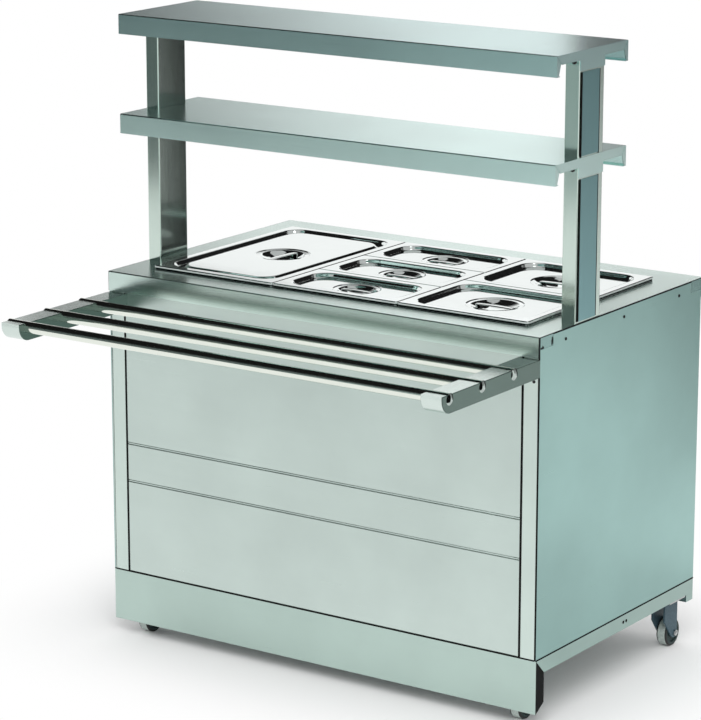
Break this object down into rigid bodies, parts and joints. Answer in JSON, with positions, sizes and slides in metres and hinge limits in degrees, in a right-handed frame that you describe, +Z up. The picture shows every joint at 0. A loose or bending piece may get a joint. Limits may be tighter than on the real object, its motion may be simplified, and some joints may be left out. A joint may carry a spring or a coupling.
{
  "type": "bain-marie",
  "caption": "Mobile bain-marie serving counter: heated well of lidded food pans, gantry shelves over it, a tubular tray slide in front and swivel casters.",
  "frame": {"origin": "on the floor, at the middle of the footprint from the tray slide's nose to the back fascia", "axes": "+Z up, +Y from the customer side with the tray slide to the operator side, +X to the customer's right"},
  "size_m": [1.133, 1.066, 1.42],
  "materials": {
    "satin_steel": "satin stainless sheet",
    "polished_steel": "polished stainless",
    "black_plastic": "moulded, matt",
    "blackened_screw": "blackened steel",
    "caster_paint": "dark blue-grey paint",
    "wheel_rubber": "grey non-marking tread",
    "zinc_plate": "zinc plated",
    "rocker_plastic": "glossy green",
    "lamp_lens": "amber lens",
    "element_sheath": "oxidised sheath",
    "valve_brass": "machined brass",
    "lever_paint": "red coated bar"
  },
  "bodies": {
    "cabinet": {"worktop": "satin_steel", "well_tank": "satin_steel", "pan_support_bars": "satin_steel", "lower_shelf": "satin_steel", "upper_shelf": "satin_steel", "left_gantry_post": "satin_steel", "right_gantry_post": "satin_steel", "gantry_post_covers": "satin_steel", "shelf_bolts": "blackened_screw", "front_upper_panel": "satin_steel", "front_middle_band": "satin_steel", "front_lower_panel": "satin_steel", "front_corner_posts": "satin_steel", "left_side_panel": "satin_steel", "right_side_panel": "satin_steel", "panel_screws": "blackened_screw", "base_side_rails": "satin_steel", "base_front_rail": "satin_steel", "base_rear_rail": "satin_steel", "base_shelf": "satin_steel", "kick_plate": "satin_steel", "kick_plate_caps": "black_plastic", "left_tray_bracket": "satin_steel", "right_tray_bracket": "satin_steel", "bracket_screws": "blackened_screw", "tray_tubes": "polished_steel", "tube_end_caps": "polished_steel", "caster_plates": "zinc_plate", "control_panel": "satin_steel", "thermostat_body": "black_plastic", "switch_body": "black_plastic", "pilot_lamp": "lamp_lens", "cable_gland": "black_plastic", "heating_element": "element_sheath", "element_clamps": "satin_steel", "drain_pipe": "satin_steel", "drain_valve": "valve_brass"},
    "pan_left": {"pan_left": "polished_steel"},
    "pan_middle_front": {"pan_middle_front": "polished_steel"},
    "pan_middle_center": {"pan_middle_center": "polished_steel"},
    "pan_middle_back": {"pan_middle_back": "polished_steel"},
    "pan_right_front": {"pan_right_front": "polished_steel"},
    "pan_right_back": {"pan_right_back": "polished_steel"},
    "lid_left": {"lid_left": "polished_steel"},
    "lid_middle_front": {"lid_middle_front": "polished_steel"},
    "lid_middle_center": {"lid_middle_center": "polished_steel"},
    "lid_middle_back": {"lid_middle_back": "polished_steel"},
    "lid_right_front": {"lid_right_front": "polished_steel"},
    "lid_right_back": {"lid_right_back": "polished_steel"},
    "caster_front_left": {"caster_fork_front_left": "caster_paint"},
    "caster_front_right": {"caster_fork_front_right": "caster_paint"},
    "caster_rear_left": {"caster_fork_rear_left": "caster_paint"},
    "caster_rear_right": {"caster_fork_rear_right": "caster_paint"},
    "wheel_front_left": {"caster_wheel_front_left": "wheel_rubber"},
    "wheel_front_right": {"caster_wheel_front_right": "wheel_rubber"},
    "wheel_rear_left": {"caster_wheel_rear_left": "wheel_rubber"},
    "wheel_rear_right": {"caster_wheel_rear_right": "wheel_rubber"},
    "thermostat_knob": {"thermostat_knob": "black_plastic"},
    "power_rocker": {"power_rocker": "rocker_plastic"},
    "drain_lever": {"drain_lever": "lever_paint"}
  },
  "joints": [
    {"name": "pan_left_lift", "type": "slide", "parent": "cabinet", "child": "pan_left", "axis": [0, 0, 1], "range_m": [0, 0.17]},
    {"name": "lid_left_lift", "type": "slide", "parent": "pan_left", "child": "lid_left", "axis": [0, 0, 1], "range_m": [0, 0.1]},
    {"name": "pan_middle_front_lift", "type": "slide", "parent": "cabinet", "child": "pan_middle_front", "axis": [0, 0, 1], "range_m": [0, 0.17]},
    {"name": "lid_middle_front_lift", "type": "slide", "parent": "pan_middle_front", "child": "lid_middle_front", "axis": [0, 0, 1], "range_m": [0, 0.1]},
    {"name": "pan_middle_center_lift", "type": "slide", "parent": "cabinet", "child": "pan_middle_center", "axis": [0, 0, 1], "range_m": [0, 0.17]},
    {"name": "lid_middle_center_lift", "type": "slide", "parent": "pan_middle_center", "child": "lid_middle_center", "axis": [0, 0, 1], "range_m": [0, 0.1]},
    {"name": "pan_middle_back_lift", "type": "slide", "parent": "cabinet", "child": "pan_middle_back", "axis": [0, 0, 1], "range_m": [0, 0.17]},
    {"name": "lid_middle_back_lift", "type": "slide", "parent": "pan_middle_back", "child": "lid_middle_back", "axis": [0, 0, 1], "range_m": [0, 0.1]},
    {"name": "pan_right_front_lift", "type": "slide", "parent": "cabinet", "child": "pan_right_front", "axis": [0, 0, 1], "range_m": [0, 0.17]},
    {"name": "lid_right_front_lift", "type": "slide", "parent": "pan_right_front", "child": "lid_right_front", "axis": [0, 0, 1], "range_m": [0, 0.1]},
    {"name": "pan_right_back_lift", "type": "slide", "parent": "cabinet", "child": "pan_right_back", "axis": [0, 0, 1], "range_m": [0, 0.17]},
    {"name": "lid_right_back_lift", "type": "slide", "parent": "pan_right_back", "child": "lid_right_back", "axis": [0, 0, 1], "range_m": [0, 0.1]},
    {"name": "caster_front_left_swivel", "type": "hinge", "parent": "cabinet", "child": "caster_front_left", "pos_m": [-0.5, -0.09, 0.116], "axis": [0, 0, 1], "continuous": true},
    {"name": "wheel_front_left_roll", "type": "hinge", "parent": "caster_front_left", "child": "wheel_front_left", "pos_m": [-0.5, -0.112, 0.032], "axis": [1, 0, 0], "continuous": true},
    {"name": "caster_front_right_swivel", "type": "hinge", "parent": "cabinet", "child": "caster_front_right", "pos_m": [0.5, -0.09, 0.116], "axis": [0, 0, 1], "continuous": true},
    {"name": "wheel_front_right_roll", "type": "hinge", "parent": "caster_front_right", "child": "wheel_front_right", "pos_m": [0.5, -0.112, 0.032], "axis": [1, 0, 0], "continuous": true},
    {"name": "caster_rear_left_swivel", "type": "hinge", "parent": "cabinet", "child": "caster_rear_left", "pos_m": [-0.5275, 0.454, 0.116], "axis": [0, 0, 1], "continuous": true},
    {"name": "wheel_rear_left_roll", "type": "hinge", "parent": "caster_rear_left", "child": "wheel_rear_left", "pos_m": [-0.5275, 0.476, 0.032], "axis": [1, 0, 0], "continuous": true},
    {"name": "caster_rear_right_swivel", "type": "hinge", "parent": "cabinet", "child": "caster_rear_right", "pos_m": [0.5275, 0.454, 0.116], "axis": [0, 0, 1], "continuous": true},
    {"name": "wheel_rear_right_roll", "type": "hinge", "parent": "caster_rear_right", "child": "wheel_rear_right", "pos_m": [0.5275, 0.476, 0.032], "axis": [1, 0, 0], "continuous": true},
    {"name": "thermostat_turn", "type": "hinge", "parent": "cabinet", "child": "thermostat_knob", "pos_m": [0.25, 0.488, 0.735], "axis": [0, -1, 0], "range_deg": [0, 270]},
    {"name": "rocker_tip", "type": "hinge", "parent": "cabinet", "child": "power_rocker", "pos_m": [0.15, 0.4855, 0.735], "axis": [1, 0, 0], "range_deg": [-18, 0]},
    {"name": "drain_lever_turn", "type": "hinge", "parent": "cabinet", "child": "drain_lever", "pos_m": [-0.2715, 0.369, 0.585], "axis": [1, 0, 0], "range_deg": [0, 90]}
  ]
}
